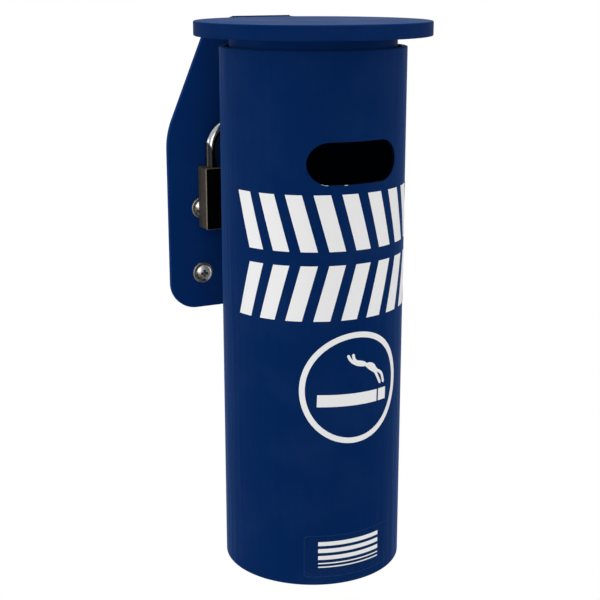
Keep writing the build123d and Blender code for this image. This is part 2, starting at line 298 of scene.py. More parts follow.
def powderCoat(
    name, tone, bloom, roughness=0.42, peel=900.0, waves=0.0, specks=0.35, cloud=0.06,
    ior=1.06, gloss=0.2, sheen=0.0, alpha=1.0, litTop=None,
):
    # the last argument says from which height the coat is painted lighter, as painted light falling on the
    # top, over which depth, and in which tone
    mat, tree = newMaterial(name)
    skin = addNode(tree, "ShaderNodeGroup", {
        "Tone": tone, "Bloom": bloom, "Peel Scale": peel, "Waviness": waves,
        "Speck Amount": specks, "Cloud Amount": cloud, "Roughness": roughness,
    }, node_tree=coatDetail).outputs
    colour = skin["Color"]
    # painted light: the coat turns lighter over the top, in patches
    if litTop:
        place = objectPlace(tree)
        height = addNode(tree, "ShaderNodeSeparateXYZ", {0: place}).outputs["Z"]
        above = remap(tree, height, (litTop["height"] - litTop["depth"], litTop["height"]))
        noise = noisePattern(tree, place, *coatSpec["topLightNoise"])
        patchy = remap(tree, noise, noiseSpan, coatSpec["topLightAmount"])
        colour = blend(tree, combine(tree, "MULTIPLY", above, patchy), colour, litTop["tone"])
    bump = addNode(tree, "ShaderNodeBump", {
        "Height": skin["Height"], "Strength": coatSpec["bumpStrength"], "Distance": coatSpec["bumpDistance"],
    })
    principled(tree, {
        "Base Color": colour, "Roughness": skin["Roughness"], "Normal": bump,
        "IOR": ior, "Specular IOR Level": gloss, "Alpha": alpha, "Sheen Weight": sheen,
        "Sheen Roughness": coatSpec["sheenRoughness"], "Sheen Tint": coatSpec["sheenTint"],
    })
    return mat


def metalFinish(name, tone, dark, roughness, stretch=(1, 1, 1), metallic=1.0):
    mat, tree = newMaterial(name)
    grain = addNode(tree, "ShaderNodeGroup", {
        "Tone": tone, "Dark": dark, "Roughness": roughness, "Stretch": stretch,
    }, node_tree=metalGrain).outputs
    principled(tree, {"Base Color": grain["Color"], "Roughness": grain["Roughness"], "Metallic": metallic})
    return mat


def coveredMetal(tree, mask, bare, cover, metallic, roughness, ior):
    # metal under dirt or paint: each value goes from the bare one to the covered one as the mask rises
    principled(tree, {
        "Base Color": blend(tree, mask, bare, cover),
        "Metallic": remap(tree, mask, target=metallic),
        "Roughness": remap(tree, mask, target=roughness),
        "IOR": ior,
    })


def shadedChrome(name, tone, darkReflection, spec):
    # bare bright chrome on the outside of the arch; black is painted as dark reflection and shade over the
    # inside of the bend, which is measured from the middle of the arch, and over the legs down to the case,
    # higher up on their outsides
    mat, tree = newMaterial(name)
    place = objectPlace(tree)
    middleX, middleZ = spec["middle"]
    flat = addNode(tree, "ShaderNodeMapping", {
        "Vector": place, "Location": (-middleX, 0, -middleZ), "Scale": (1, 0, 1),
    })
    split = addNode(tree, "ShaderNodeSeparateXYZ", {0: flat}).outputs
    raised = combine(tree, "MAXIMUM", split["Z"], 0.0)
    squares = combine(tree, "MULTIPLY_ADD", split["X"], split["X"], combine(tree, "MULTIPLY", raised, raised))
    inner = remap(tree, combine(tree, "SQRT", squares), (spec["brightFrom"], spec["darkFrom"]))
    leaning = combine(tree, "MULTIPLY_ADD", combine(tree, "ABSOLUTE", split["X"]), -spec["lean"], split["Z"])
    noise = noisePattern(tree, place, scale=320.0, detail=3.0)
    ragged = combine(tree, "MULTIPLY_ADD", noise, spec["ragged"], leaning)
    shift = spec["lean"] * spec["leanFrom"]
    low = remap(tree, ragged, (spec["brightAbove"] - shift, spec["darkBelow"] - shift))
    darkReflectionMask = combine(tree, "MAXIMUM", inner, low)
    coveredMetal(tree, darkReflectionMask, tone, darkReflection, metallic=(1.0, 0.0), roughness=(0.16, 0.3), ior=1.3)
    return mat


def darkFacedMetal(name, tone, dark, shadeBlackFace, spec):
    # grainy bare metal on the sides; the front and back are painted black as shade and dark reflection, with
    # a painted highlight of pale metal along their edges
    mat, tree = newMaterial(name)
    place = objectPlace(tree)
    noise = noisePattern(tree, place, scale=900.0, detail=4.0)
    centred = addNode(tree, "ShaderNodeMapping", {"Vector": place, "Location": (0, -spec["middleY"], 0)})
    off = combine(tree, "ABSOLUTE", addNode(tree, "ShaderNodeSeparateXYZ", {0: centred}).outputs["Y"])
    ragged = combine(tree, "MULTIPLY_ADD", noise, spec["ragged"], off)
    edgeHighlight = remap(tree, ragged, (spec["highlightFrom"], spec["bareTo"]))
    darkFace = remap(tree, ragged, (spec["bareTo"], spec["darkFaceFrom"]))
    bare = blend(tree, edgeHighlight, blend(tree, noise, tone, dark), spec["highlightTone"])
    coveredMetal(tree, darkFace, bare, shadeBlackFace, metallic=(0.7, 0.0), roughness=(0.5, 0.35), ior=1.12)
    return mat


def shadedZinc(name, tone, shadeAndDull):
    # bright plating, darker and duller where the piece's own attribute says, broken up by fine noise: painted
    # shade on the heads, plain duller metal on the shanks
    mat, tree = newMaterial(name)
    noise = noisePattern(tree, objectPlace(tree), scale=700.0, detail=3.0)
    uneven = remap(tree, noise, noiseSpan, (0.75, 1.1))
    shadeMask = addNode(tree, "ShaderNodeAttribute", attribute_name="shadeAndDull").outputs["Fac"]
    shadeAmount = combine(tree, "MULTIPLY", shadeMask, uneven, use_clamp=True)
    coveredMetal(tree, shadeAmount, tone, shadeAndDull, metallic=(0.8, 0.2), roughness=(0.38, 0.5), ior=1.3)
    return mat


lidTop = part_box("lid")[1].z
coatTones = rgb(4, 33, 79), rgb(60, 85, 125)
# painted light: the lid's top face is painted lighter, in patches, for the light that falls on it from above
paintedTopLight = {"height": lidTop - 0.1 * mm, "depth": 0.5 * mm, "tone": rgb(6, 53, 104)}
navy = powderCoat("navyPowderCoat", *coatTones)
tubeNavy = powderCoat("tubePowderCoat", *coatTones, waves=22.0, sheen=0.13)
lidNavy = powderCoat("topLitPowderCoat", *coatTones, litTop=paintedTopLight)
# painted light: a lighter copy of the navy coat for the collar, plate and keeper lug, which offsets the shade
# that falls on them
shadeLiftedNavy = powderCoat("shadeLiftedPowderCoat", rgb(6, 41, 94), rgb(60, 90, 135))
darkInnerCoat = powderCoat("darkInnerCoat", rgb(3, 8, 17), rgb(22, 22, 22), roughness=0.8, ior=1.1, gloss=0.1)
# painted shade: the slot's cut face is coated nearly black for the shade that falls in it
shadedCutFace = powderCoat(
    "shadedCutFaceCoat", rgb(2, 6, 15), rgb(26, 26, 28),
    roughness=0.22, cloud=0.4, ior=1.3, gloss=0.5,
)
whiteVinyl = powderCoat(
    "whiteVinyl", rgb(223, 223, 224), rgb(204, 205, 204),
    roughness=0.5, peel=300.0, specks=0.05, ior=1.2, gloss=0.5,
)
clearVinyl = powderCoat(
    "clearVinyl", rgb(30, 60, 105), rgb(80, 100, 135),
    roughness=0.25, specks=0.1, ior=1.1, gloss=0.2, alpha=0.1,
)
filmEdge = powderCoat("filmEdge", rgb(24, 54, 102), rgb(80, 100, 135), roughness=0.3, specks=0.0)
zincPlate = metalFinish("zincPlate", rgb(176, 172, 163), rgb(120, 115, 106), 0.3, metallic=0.85)
screwZinc = shadedZinc("shadedZinc", rgb(236, 234, 228), rgb(24, 20, 17))
hardSteel = metalFinish("hardSteel", rgb(200, 200, 204), rgb(150, 150, 154), 0.2)
plugBrass = metalFinish("plugBrass", rgb(205, 175, 105), rgb(150, 125, 70), 0.3, stretch=(1, 1, 0.1))

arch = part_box("padlock_shackle")
bendRadius = 17.25 * mm  # the outside of the bend
legOffset = 14.0 * mm  # from the middle of the arch to the middle of a leg
# painted dark reflection and shade: the shackle's inner bend and legs are black
shackleChrome = shadedChrome("shackleChrome", rgb(168, 169, 172), rgb(5, 5, 6), {
    "middle": ((arch[0].x + arch[1].x) / 2, arch[1].z - bendRadius),
    "brightFrom": legOffset + 0.9 * mm,
    "darkFrom": legOffset + 0.2 * mm,
    "brightAbove": 2.6 * mm,
    "darkBelow": 0.8 * mm,
    "ragged": 1.5 * mm,
    "lean": 1.6,
    "leanFrom": 15 * mm,
})
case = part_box("padlock_case")
caseHalf = (case[1].y - case[0].y) / 2
# painted shade and dark reflection on the case's front and back, and a painted highlight along their edges
lockBody = darkFacedMetal("lockBody", rgb(96, 90, 80), rgb(38, 35, 31), rgb(3, 3, 4), {
    "middleY": (case[0].y + case[1].y) / 2,
    "highlightFrom": caseHalf - 0.9 * mm,
    "bareTo": caseHalf - 0.25 * mm,
    "darkFaceFrom": caseHalf - 0.02 * mm,
    "ragged": 0.15 * mm,
    "highlightTone": rgb(120, 112, 100),
})

slotMaterials = {
    "navy_powder_coat": navy,
    "white_vinyl": whiteVinyl,
    "clear_vinyl": clearVinyl,
    "zinc_screw": zincPlate,
    "shackle_chrome": shackleChrome,
    "padlock_body": lockBody,
    "plug_brass": plugBrass,
    "hardened_steel": hardSteel,
}
for sub in frame["record"]["subparts"]:
    piece = nodes[sub["node"]]
    piece.data.materials.clear()
    piece.data.materials.append(slotMaterials[sub["material_slot"]])
# painted light: the keeper lug takes the lighter copy of the coat that offsets its shade
nodes["keeper_lug"].data.materials[0] = shadeLiftedNavy
nodes["lid"].data.materials[0] = lidNavy
print("stage: finishes")


def gridFaces(points, loopRows=False, loopColumns=False, capped=False):
    # quads between neighbours of a rows x columns grid; either way may close on itself, or its ends be capped
    rows, columns = points.shape[:2]
    ids = np.arange(rows * columns).reshape(rows, columns)
    ends = [ids[0].tolist(), ids[-1][::-1].tolist()] if capped else []
    if loopRows:
        ids = np.vstack([ids, ids[:1]])
    if loopColumns:
        ids = np.hstack([ids, ids[:, :1]])
    quads = np.stack([ids[:-1, :-1], ids[:-1, 1:], ids[1:, 1:], ids[1:, :-1]], axis=-1)
    return points.reshape(-1, 3), quads.reshape(-1, 4).tolist() + ends


def makePiece(name, shells, material, slot, body, *replaced, sharp=40):
    # several closed shells become one object that takes the given finish, rides its body
    # and stands for the plain nodes; edges sharper than this many degrees stay hard; the slot is not used
    points, faces, count = [], [], 0
    for shellPoints, shellFaces in shells:
        points.append(shellPoints)
        faces += [[i + count for i in face] for face in shellFaces]
        count += len(shellPoints)
    mesh = bpy.data.meshes.new(name)
    mesh.from_pydata(np.concatenate(points).tolist(), [], faces)
    work = bmesh.new()
    work.from_mesh(mesh)
    bmesh.ops.remove_doubles(work, verts=work.verts, dist=1e-4 * mm)
    bmesh.ops.recalc_face_normals(work, faces=work.faces)
    work.to_mesh(mesh)
    work.free()
    mesh.materials.append(material)
    mesh.shade_smooth()
    mesh.set_sharp_from_angle(angle=math.radians(sharp))
    piece = bpy.data.objects.new(name, mesh)
    scene.collection.objects.link(piece)
    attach(piece, body)
    if replaced:
        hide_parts(*replaced)
    return piece


def readTriples(items, name):
    # three numbers of each vertex, normal or face, one row for each
    values = np.empty(len(items) * 3, dtype=np.float32)
    items.foreach_get(name, values)
    return values.reshape(-1, 3)


def fullTurn(steps):
    return np.linspace(0, 2 * math.pi, steps, endpoint=False)


def walkedAlong(line):
    # how far along the line each of its points lies
    return np.concatenate([[0], np.cumsum(np.linalg.norm(np.diff(line, axis=0), axis=1))])


def roundedEnds(walked, radius, blunt):
    # rises to one from either end of a line, over a quarter circle of this radius that starts a little blunt
    toEnd = np.minimum(walked, walked[-1] - walked) / radius
    return np.sqrt(np.clip(1 - (1 - toEnd).clip(0, blunt) ** 2, 0, 1))


quarterTurn = np.linspace(0, math.pi / 2, 5)  # the steps in which each rounded cut edge is drawn

lugEdges = {"nodes": ("keeper_lug", "hasp_tab"), "width": 0.4 * mm, "segments": 2, "sharperThan": 35}


def easeEdges(piece, spec):
    # knocks the sharp corners off a plain solid, which takes the light along its edges
    weld = piece.modifiers.new("joinCorners", "WELD")
    weld.merge_threshold = 0.001 * mm
    bevel = piece.modifiers.new("easeEdges", "BEVEL")
    bevel.width = spec["width"]
    bevel.segments = spec["segments"]
    bevel.limit_method = "ANGLE"
    bevel.angle_limit = math.radians(spec["sharperThan"])
    normals = piece.modifiers.new("flatFaces", "WEIGHTED_NORMAL")
    normals.keep_sharp = True


for node in lugEdges["nodes"]:
    easeEdges(nodes[node], lugEdges)
print("stage: eased edges")


tubeLo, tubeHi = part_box("canister_tube")
tubeRadius = (tubeHi.x - tubeLo.x) / 2
tubeAxis = ((tubeLo.x + tubeHi.x) / 2, (tubeLo.y + tubeHi.y) / 2)
tubeSpec = {
    "wall": 3.2 * mm,
    "edgeRound": 0.45 * mm,
    "columns": 160,
    "rowEvery": 5 * mm,
    "slotDrop": 70.2 * mm,
    "slotWide": 52.4 * mm,
    "slotTall": 21.9 * mm,
    "patchColumns": 25,
    "patchRows": 4,  # above and below the slot's middle
    "patchRings": 9,
    "ringCrowding": 1.3,  # above one, the rings crowd towards the slot
    "chips": ((-20.0 * mm, -16.6 * mm), (-7.6 * mm, -6.4 * mm)),  # in the slot's lower edge, from and to
    "chipDepth": 0.02 * mm,  # a chip starts this far inside the skin
    "shadeInset": 0.2 * mm,  # and the painted shade this far
    "slotBand": 10 * mm,  # cut faces nearer to the tube's ends than this aren't the slot's
    "darkenFrom": 4 * mm,  # above the tube's lower end
    "darkenTo": 16 * mm,  # below its upper end
    "nearSkin": 0.1 * mm,  # faces this near the inner skin lie on it
    "offSkin": 0.05 * mm,  # and faces this far from it don't
}


def wallSection(outer, inner, bottom, top, rounding, heights):
    # the cut edge of a round wall, as (radius, height) pairs: up the outside, over the rounded top, down
    # the inside, and back under the rounded bottom
    rise, reach = rounding * np.sin(quarterTurn), rounding * (1 - np.cos(quarterTurn))
    parts = [
        (np.full(heights.shape, outer), heights),
        (outer - reach[1:], top - rounding + rise[1:]),
        (inner + reach[::-1], top - rounding + rise[::-1]),
        (np.full(heights.shape, inner)[1:-1], heights[::-1][1:-1]),
        (inner + reach, bottom + rounding - rise),
        (outer - reach[::-1][:-1], bottom + rounding - rise[::-1][:-1]),
    ]
    return np.stack([np.concatenate([part[k] for part in parts]) for k in (0, 1)], axis=-1)


def turned(section, columns):
    # the section is carried once round the tube's axis
    turn = fullTurn(columns)[:, None]
    radius, z = section[None, :, 0], section[None, :, 1]
    x = tubeAxis[0] + radius * np.sin(turn)
    y = tubeAxis[1] - radius * np.cos(turn)
    return np.stack([x, y, z + 0 * x], axis=-1)


def laidOnWall(radius, flat, middleZ, deeper=0.0):
    # a point drawn on the front plane moves straight back until it meets the round wall
    y = tubeAxis[1] - np.sqrt(radius**2 - flat[..., 0] ** 2) + deeper
    return np.stack([tubeAxis[0] + flat[..., 0], y, middleZ + flat[..., 1]], axis=-1)


def slotPatch(radius, spec, corners, middleZ):
    # rings of points from the slot's rounded edge out to the edge of the patch, each straight out from the
    # nearest point of the slot's middle line when seen from the front, and then laid back on the wall
    reach = spec["slotTall"] / 2 + spec["edgeRound"]
    arm = (spec["slotWide"] - spec["slotTall"]) / 2
    x = radius * np.sin(corners[:, 0])
    z = corners[:, 1] - middleZ
    nearest = np.clip(x, -arm, arm)
    far = np.hypot(x - nearest, z)
    edge = np.stack([nearest + (x - nearest) / far * reach, z / far * reach], axis=-1)
    t = (np.linspace(0, 1, spec["patchRings"]) ** spec["ringCrowding"])[:, None, None]
    flat = edge[None] * (1 - t) + np.stack([x, z], axis=-1)[None] * t
    return laidOnWall(radius, flat, middleZ), nearest, edge


def slotWall(spec, radii, nearest, edge, middleZ):
    # the slot's cut face runs straight back through the wall, with a quarter round at its front and back
    rounding = spec["edgeRound"]
    middle = np.stack([nearest, 0 * nearest], axis=-1)
    out = (edge - middle) / np.linalg.norm(edge - middle, axis=1)[:, None]
    turn = quarterTurn[:, None, None]
    flat = middle + out * (spec["slotTall"] / 2 + rounding * (1 - np.sin(turn)))
    deeper = rounding * (1 - np.cos(turn[..., 0]))
    front = laidOnWall(radii[0], flat, middleZ, deeper)
    back = laidOnWall(radii[1], flat, middleZ, -deeper)
    return np.concatenate([front, back[::-1]])


def tubeShell(spec):
    # a turned wall with a gap round the slot, a patch on each skin that fills it, and the slot's cut face
    outer, inner = tubeRadius, tubeRadius - spec["wall"]
    middleZ = lidTop - spec["slotDrop"]
    low, high = tubeLo.z + spec["edgeRound"], tubeHi.z - spec["edgeRound"]
    step = spec["rowEvery"]
    band = middleZ + step * np.arange(-spec["patchRows"], spec["patchRows"] + 1)
    below = np.linspace(low, band[0], round((band[0] - low) / step) + 1)[:-1]
    above = np.linspace(band[-1], high, round((high - band[-1]) / step) + 1)[1:]
    heights = np.concatenate([below, band, above])
    section = wallSection(outer, inner, tubeLo.z, tubeHi.z, spec["edgeRound"], heights)
    points, quads = gridFaces(turned(section, spec["columns"]), loopRows=True, loopColumns=True)
    place = np.array(points)[np.array(quads)].mean(axis=1)
    angle = np.arctan2(place[:, 0] - tubeAxis[0], tubeAxis[1] - place[:, 1])
    across = np.arange(-spec["patchColumns"], spec["patchColumns"] + 1) * 2 * math.pi / spec["columns"]
    inPatch = (np.abs(angle) < across[-1]) & (place[:, 2] > band[0]) & (place[:, 2] < band[-1])
    shells = [(points, [quad for quad, gone in zip(quads, inPatch) if not gone])]
    corners = np.concatenate([
        np.stack([across[:-1], 0 * across[:-1] + band[0]], axis=-1),
        np.stack([0 * band[:-1] + across[-1], band[:-1]], axis=-1),
        np.stack([across[:0:-1], 0 * across[:0:-1] + band[-1]], axis=-1),
        np.stack([0 * band[:0:-1] + across[0], band[:0:-1]], axis=-1),
    ])
    for radius in (outer, inner):
        patch, nearest, edge = slotPatch(radius, spec, corners, middleZ)
        shells.append(gridFaces(patch, loopColumns=True))
    shells.append(gridFaces(slotWall(spec, (outer, inner), nearest, edge, middleZ), loopColumns=True))
    return shells, (outer, inner)


def radialNormals(mesh, radii):
    # points on the two round skins face straight out and in, so that the light runs evenly over them
    place = readTriples(mesh.vertices, "co")
    normals = readTriples(mesh.vertex_normals, "vector")
    out = place[:, :2] - np.array(tubeAxis)
    distance = np.linalg.norm(out, axis=1)
    tolerance = 0.002 * mm  # because a mesh rounds its places
    for radius, sign in zip(radii, (1, -1)):
        on = np.abs(distance - radius) < tolerance
        normals[on, :2] = sign * out[on] / distance[on, None]
        normals[on, 2] = 0
    mesh.normals_split_custom_set_from_vertices(normals.tolist())


def finishTube(mesh, radii, spec):
    # the inner wall is darker between its ends, the slot's cut face is painted nearly black as painted shade,
    # and its chips show bare steel
    x, y, z = readTriples(mesh.polygons, "center").T
    distance = np.hypot(x - tubeAxis[0], y - tubeAxis[1])
    arc = np.arctan2(x - tubeAxis[0], tubeAxis[1] - y) * radii[0]
    darkened = (z > tubeLo.z + spec["darkenFrom"]) & (z < tubeHi.z - spec["darkenTo"])
    darkened &= distance < radii[1] + spec["nearSkin"]
    slotFace = (z > tubeLo.z + spec["slotBand"]) & (z < tubeHi.z - spec["slotBand"])
    slotFace &= distance > radii[1] + spec["offSkin"]
    shadedFace = slotFace & (distance < radii[0] - spec["shadeInset"])
    chipped = np.any([(arc > start) & (arc < end) for start, end in spec["chips"]], axis=0)
    chipped &= slotFace & (z < lidTop - spec["slotDrop"])
    chipped &= (distance < radii[0] - spec["chipDepth"]) & (distance > radii[0] - spec["edgeRound"])
    finish = np.select([chipped, shadedFace, darkened], [3, 2, 1], 0)
    mesh.polygons.foreach_set("material_index", finish.astype(np.int32))


shells, radii = tubeShell(tubeSpec)
tube = makePiece("canisterShell", shells, tubeNavy, "navy_powder_coat", "canister", "canister_tube", sharp=80)
for finish in (darkInnerCoat, shadedCutFace, hardSteel):
    tube.data.materials.append(finish)
finishTube(tube.data, radii, tubeSpec)
radialNormals(tube.data, radii)

collarSpec = {"wall": 3.2 * mm, "edgeRound": 0.6 * mm, "columns": 144, "rows": 9}


def collarShell(low, high, spec):
    # a plain turned wall
    outer = (high.x - low.x) / 2
    inner = outer - spec["wall"]
    heights = np.linspace(low.z + spec["edgeRound"], high.z - spec["edgeRound"], spec["rows"])
    section = wallSection(outer, inner, low.z, high.z, spec["edgeRound"], heights)
    return gridFaces(turned(section, spec["columns"]), loopRows=True, loopColumns=True), (outer, inner)


shell, radii = collarShell(*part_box("locating_collar"), collarSpec)
collar = makePiece(
    "roundCollar", [shell], shadeLiftedNavy, "navy_powder_coat", "bracket", "locating_collar", sharp=80
)
radialNormals(collar.data, radii)
print("stage: tube and collar")


def wrapOnTube(arc, z, lift):
    # a point at this arc length from the front, height and distance off the tube's skin
    angle = arc / tubeRadius
    reach = tubeRadius + lift
    x = tubeAxis[0] + reach * np.sin(angle)
    y = tubeAxis[1] - reach * np.cos(angle)
    return np.stack([x, y, z + 0 * angle], axis=-1)


def wrappedBand(arc, z, acrossArc, acrossZ, film, steps=10, closed=False):
    # a ribbon of film along a line on the skin: at each point it reaches one across-vector to either side,
    # and its section goes over the top of the film, down its edge and back beneath it
    over = np.linspace(-1, 1, steps + 1)
    lift = np.full(over.shape, film["thickness"])
    lift[[0, -1]] -= film["edgeRound"]
    side = np.concatenate([over, over[::-1]])
    height = np.concatenate([lift, np.full(over.shape, -film["sink"])])
    pathArc = arc[:, None] + acrossArc[:, None] * side[None, :]
    pathZ = z[:, None] + acrossZ[:, None] * side[None, :]
    points = wrapOnTube(pathArc, pathZ, height[None, :] + 0 * pathArc)
    return gridFaces(points, loopRows=closed, loopColumns=True, capped=not closed)


vinylFilm = {"thickness": 0.15 * mm, "edgeRound": 0.03 * mm, "sink": 0.04 * mm}
stripes = {
    "pitch": math.radians(17),
    "count": 9,
    "width": 9 * mm,
    "slant": 4.2 * mm,
    "height": 30 * mm,
    "drops": (101.2 * mm, 138.7 * mm),
    "leans": (-1, 1),
    "steps": 13,
}


def stripeBands(spec):
    # each bar's middle line runs straight up the skin and leans by the slant to either side of its place
    bands = []
    t = np.linspace(-1, 1, spec["steps"])
    half = np.full(t.shape, spec["width"] / 2)
    for drop, lean in zip(spec["drops"], spec["leans"]):
        z = lidTop - drop + spec["height"] / 2 * t
        for i in range(spec["count"]):
            centre = tubeRadius * spec["pitch"] * (i - (spec["count"] - 1) / 2)
            bands.append(wrappedBand(centre + lean * spec["slant"] * t, z, half, 0 * half, vinylFilm))
    return bands


makePiece("slantedStripes", stripeBands(stripes), whiteVinyl, "white_vinyl", "canister", "warning_stripes")

pictogram = {
    "drop": 192.3 * mm,
    "ringOuter": 31.4 * mm,
    "ringInner": 28.25 * mm,
    "ringSteps": 144,
    "cigaretteRise": -6.4 * mm,
    "cigaretteTilt": math.radians(-1.7),
    "thickness": 6.8 * mm,
    "stub": (-21.7 * mm, 14.6 * mm),
    "ember": (15.8 * mm, 21.8 * mm),
    "cigaretteSteps": 25,
    "smokeWidth": 1.65 * mm,
    # two strands that twist round each other, and a short one that fills their loop, in millimetres
    "smoke": (
        (
            (17.4, -0.6), (15.1, 3.7), (13.3, 6.7), (11.4, 8.2), (9.2, 9.7), (7.2, 11.6),
            (5.4, 13.3), (3.2, 14.1), (0.6, 14.8), (-1.0, 16.5), (-1.6, 19.4),
        ),
        (
            (20.0, -0.8), (18.7, 3.9), (16.8, 6.2), (14.5, 7.5), (13.0, 9.2), (11.6, 11.1), (9.4, 12.1),
            (7.0, 12.2), (4.2, 12.4), (1.3, 13.1), (-1.3, 14.4), (-3.4, 16.5), (-4.7, 19.1),
        ),
        ((13.6, 7.4), (12.2, 8.8), (10.8, 10.3), (9.2, 11.2)),
    ),
    "smokeStacking": 0.02 * mm,
    "smokeSteps": 72,
    "smokeEndsBlunt": 0.98,
}


def smoothLine(points, steps):
    # between two given points the curve follows the cubic that their neighbours' slopes give
    points = np.array(points) * mm
    padded = np.vstack([2 * points[0] - points[1], points, 2 * points[-1] - points[-2]])
    t = np.linspace(0, len(points) - 1, steps)
    i = np.minimum(t.astype(int), len(points) - 2)
    f = (t - i)[:, None]
    a, b, c, d = (padded[i + k] for k in range(4))
    return 0.5 * (2 * b + (c - a) * f + (2 * a - 5 * b + 4 * c - d) * f**2 + (3 * b - a - 3 * c + d) * f**3)


def ringBand(spec, middleZ):
    # one circle on the unrolled skin
    turn = fullTurn(spec["ringSteps"])
    middle = (spec["ringOuter"] + spec["ringInner"]) / 2
    half = (spec["ringOuter"] - spec["ringInner"]) / 2
    x, z = np.sin(turn), np.cos(turn)
    return wrappedBand(middle * x, middleZ + middle * z, half * x, half * z, vinylFilm, steps=4, closed=True)


def cigaretteBand(spec, middleZ, start, end):
    # a straight ribbon that tilts with the cigarette
    rise = math.sin(spec["cigaretteTilt"])
    run = np.linspace(start, end, spec["cigaretteSteps"])
    half = np.full(run.shape, spec["thickness"] / 2)
    z = middleZ + spec["cigaretteRise"] + rise * run
    return wrappedBand(run, z, -rise * half, math.cos(spec["cigaretteTilt"]) * half, vinylFilm, steps=2)


def smokeBand(spec, middleZ, strand, raised):
    # a round-ended ribbon along a smooth line; each strand lies a little over the one before
    line = smoothLine(strand, spec["smokeSteps"])
    slope = np.gradient(line, axis=0)
    slope /= np.linalg.norm(slope, axis=1)[:, None]
    half = spec["smokeWidth"] / 2
    width = half * roundedEnds(walkedAlong(line), half, spec["smokeEndsBlunt"])
    film = dict(vinylFilm, thickness=vinylFilm["thickness"] + spec["smokeStacking"] * raised)
    x, z = line.T
    return wrappedBand(x, middleZ + z, -slope[:, 1] * width, slope[:, 0] * width, film, steps=4)


middleZ = lidTop - pictogram["drop"]
marks = [ringBand(pictogram, middleZ)]
marks += [cigaretteBand(pictogram, middleZ, *pictogram[part]) for part in ("stub", "ember")]
marks += [smokeBand(pictogram, middleZ, strand, raised) for raised, strand in enumerate(pictogram["smoke"])]
makePiece("wrappedPictogram", marks, whiteVinyl, "white_vinyl", "canister", "smoking_pictogram")

labelSpec = {
    "centreArc": -1.7 * mm,
    "drop": 289.5 * mm,
    "width": 54 * mm,
    "height": 25 * mm,
    "corner": 2.0 * mm,
    "cornerSteps": 8,
    "cornerBlunt": 0.999,
    "filmSteps": 50,
    "film": {"thickness": 0.08 * mm, "edgeRound": 0.02 * mm, "sink": 0.04 * mm},
    "print": {"thickness": 0.11 * mm, "edgeRound": 0.01 * mm, "sink": -0.05 * mm},
    "rimWidth": 0.3 * mm,
    "rimStep": 1.0 * mm,
    "rimClear": 0.2,  # of a step, which no two points of the rim come nearer than
    "barWide": 38 * mm,
    "barSteps": 33,
    # three even bars and two thin lines: each one's height above the label's middle, and how tall it is
    "bars": (
        (7.6 * mm, 2.4 * mm), (3.4 * mm, 2.4 * mm), (-0.8 * mm, 2.4 * mm),
        (-4.2 * mm, 0.7 * mm), (-6.4 * mm, 0.7 * mm),
    ),
}


def onLabel(spec, x, z, acrossX, acrossZ, film, **options):
    # a ribbon whose middle line is given from the label's middle
    return wrappedBand(x + spec["centreArc"], lidTop - spec["drop"] + z, acrossX, acrossZ, film, **options)


def filmBand(spec):
    # a wide ribbon whose half-height falls away in a quarter circle at each end
    half = spec["width"] / 2
    corner = spec["corner"]
    left = -half + corner * (1 - np.cos(np.linspace(0, math.pi / 2, spec["cornerSteps"])))
    run = np.concatenate([left, np.linspace(left[-1], -left[-1], spec["filmSteps"])[1:-1], -left[::-1]])
    toEnd = (corner - (half - np.abs(run))).clip(0, corner * spec["cornerBlunt"])
    tall = spec["height"] / 2 - corner + np.sqrt(corner**2 - toEnd**2)
    return onLabel(spec, run, 0 * run, 0 * run, tall, spec["film"], steps=2)


def barBand(spec, z, tall):
    # a straight ribbon
    run = np.linspace(-0.5, 0.5, spec["barSteps"]) * spec["barWide"]
    return onLabel(spec, run, z + 0 * run, 0 * run, tall / 2 + 0 * run, spec["print"], steps=2)


def rimBand(spec):
    # the film's cut edge: one thin ribbon round the same outline, in steps short enough to follow the tube
    corner = spec["corner"]
    turn = np.linspace(0, math.pi / 2, spec["cornerSteps"])[:, None]
    out = np.concatenate([np.hstack([np.sin(turn + k), np.cos(turn + k)]) for k in fullTurn(4)])
    quarter = np.repeat(np.array([[1, 1], [1, -1], [-1, -1], [-1, 1]]), spec["cornerSteps"], axis=0)
    middle = quarter * (np.array([spec["width"], spec["height"]]) / 2 - corner)
    loop = np.hstack([middle + out * (corner - spec["rimWidth"] / 2), out * spec["rimWidth"] / 2])
    loop = np.vstack([loop, loop[:1]])
    walked = walkedAlong(loop[:, :2])
    even = np.linspace(0, walked[-1], round(walked[-1] / spec["rimStep"]), endpoint=False)
    clear = np.min(np.abs(even[:, None] - walked[None]), axis=1) > spec["rimClear"] * spec["rimStep"]
    steps = np.union1d(walked[:-1], even[clear])
    x, z, acrossX, acrossZ = (np.interp(steps, walked, column) for column in loop.T)
    return onLabel(spec, x, z, acrossX, acrossZ, spec["print"], steps=1, closed=True)


bars = [barBand(labelSpec, z, tall) for z, tall in labelSpec["bars"]]
makePiece("labelFilm", [filmBand(labelSpec)], clearVinyl, "clear_vinyl", "canister", "clear_label")
makePiece("labelBars", bars, whiteVinyl, "white_vinyl", "canister")
makePiece("labelRim", [rimBand(labelSpec)], filmEdge, "clear_vinyl", "canister")
print("stage: vinyl marks")


plateLo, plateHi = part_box("back_plate")
mounts = {m["name"]: m for m in frame["record"]["mounts"]}
dims = mounts["wall_screws"]["dims"]
spanX, spanZ = dims["spacing_x_mm"] * mm, dims["spacing_y_mm"] * mm
screwPlaces = [(sx * spanX, sz * spanZ) for sx in (-0.5, 0.5) for sz in (-0.5, 0.5)]
plateSpec = {
    "topHalf": 32.1 * mm,
    "shoulderZ": lidTop - 65.7 * mm,
    "topRadius": 0.8 * mm,
    "shoulderRadius": 45.0 * mm,
    "cornerRadius": 15.9 * mm,
    "edgeRound": 0.45 * mm,
    "holeRadius": 2.75 * mm,
    "cornerSteps": 28,
    "holeSteps": 48,
}


